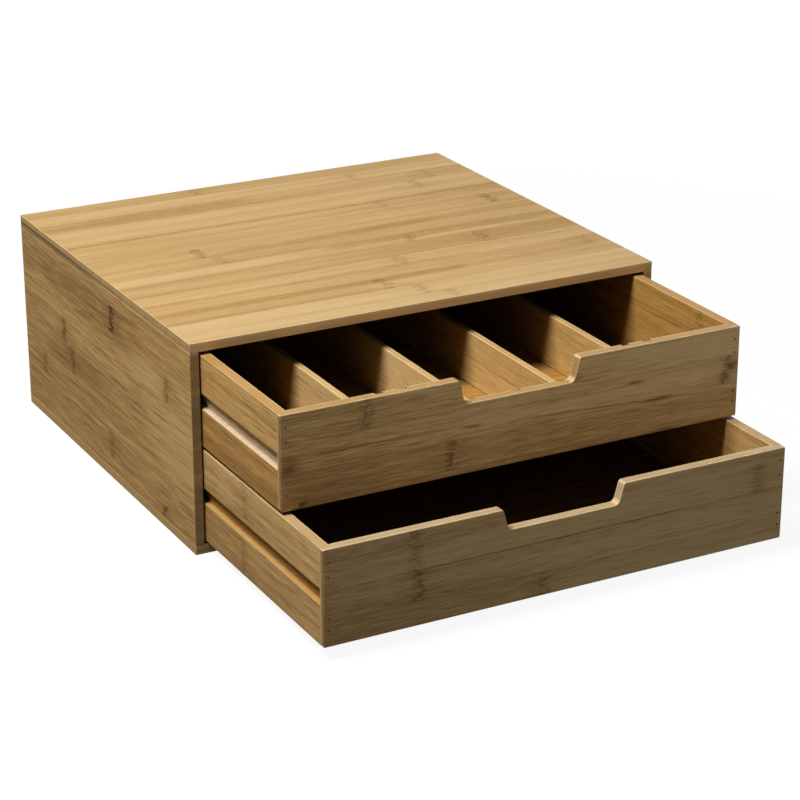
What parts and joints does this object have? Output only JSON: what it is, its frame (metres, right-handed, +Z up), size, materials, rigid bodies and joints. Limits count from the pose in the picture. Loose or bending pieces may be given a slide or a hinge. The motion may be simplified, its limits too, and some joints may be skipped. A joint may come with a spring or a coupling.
{
  "type": "coffee capsule drawer",
  "caption": "Low bamboo cabinet with inset drawers on wooden side runners, finger notches in the fronts and lift-out dividers that part the upper drawer into capsule lanes.",
  "frame": {"origin": "centre of the cabinet's underside, drawers left out", "axes": "+Z up, +X to the right seen from the front, the drawers open towards -Y"},
  "size_m": [0.32, 0.4395, 0.135],
  "materials": {
    "shell_bamboo": "clear satin lacquer",
    "drawer_bamboo": "clear satin lacquer",
    "divider_bamboo": "clear satin lacquer",
    "floor_panel": "clear satin lacquer",
    "back_panel": "clear satin lacquer",
    "runner_wood": "bare, rubbed smooth",
    "brads": "dull"
  },
  "bodies": {
    "cabinet": {"cabinet_top": "shell_bamboo", "cabinet_bottom": "shell_bamboo", "cabinet_back": "back_panel", "cabinet_left_side": "shell_bamboo", "cabinet_right_side": "shell_bamboo", "upper_left_runner": "runner_wood", "upper_right_runner": "runner_wood", "lower_left_runner": "runner_wood", "lower_right_runner": "runner_wood", "cabinet_back_brads": "brads", "runner_brads": "brads"},
    "upper_drawer": {"upper_drawer_front": "drawer_bamboo", "upper_drawer_left_side": "drawer_bamboo", "upper_drawer_right_side": "drawer_bamboo", "upper_drawer_back": "drawer_bamboo", "upper_drawer_floor": "floor_panel", "upper_drawer_front_brads": "brads", "upper_drawer_rear_brads": "brads"},
    "lower_drawer": {"lower_drawer_front": "drawer_bamboo", "lower_drawer_left_side": "drawer_bamboo", "lower_drawer_right_side": "drawer_bamboo", "lower_drawer_back": "drawer_bamboo", "lower_drawer_floor": "floor_panel", "lower_drawer_front_brads": "brads", "lower_drawer_rear_brads": "brads"},
    "lane_divider_1": {"divider_1": "divider_bamboo"},
    "lane_divider_2": {"divider_2": "divider_bamboo"},
    "lane_divider_3": {"divider_3": "divider_bamboo"},
    "lane_divider_4": {"divider_4": "divider_bamboo"}
  },
  "joints": [
    {"name": "upper_drawer_slide", "type": "slide", "parent": "cabinet", "child": "upper_drawer", "axis": [0, -1, 0], "range_m": [-0.1065, 0.0935]},
    {"name": "lower_drawer_slide", "type": "slide", "parent": "cabinet", "child": "lower_drawer", "axis": [0, -1, 0], "range_m": [-0.1575, 0.0425]},
    {"name": "divider_1_lift", "type": "slide", "parent": "upper_drawer", "child": "lane_divider_1", "axis": [0, 0, 1], "range_m": [0, 0.019]},
    {"name": "divider_2_lift", "type": "slide", "parent": "upper_drawer", "child": "lane_divider_2", "axis": [0, 0, 1], "range_m": [0, 0.019]},
    {"name": "divider_3_lift", "type": "slide", "parent": "upper_drawer", "child": "lane_divider_3", "axis": [0, 0, 1], "range_m": [0, 0.019]},
    {"name": "divider_4_lift", "type": "slide", "parent": "upper_drawer", "child": "lane_divider_4", "axis": [0, 0, 1], "range_m": [0, 0.019]}
  ]
}
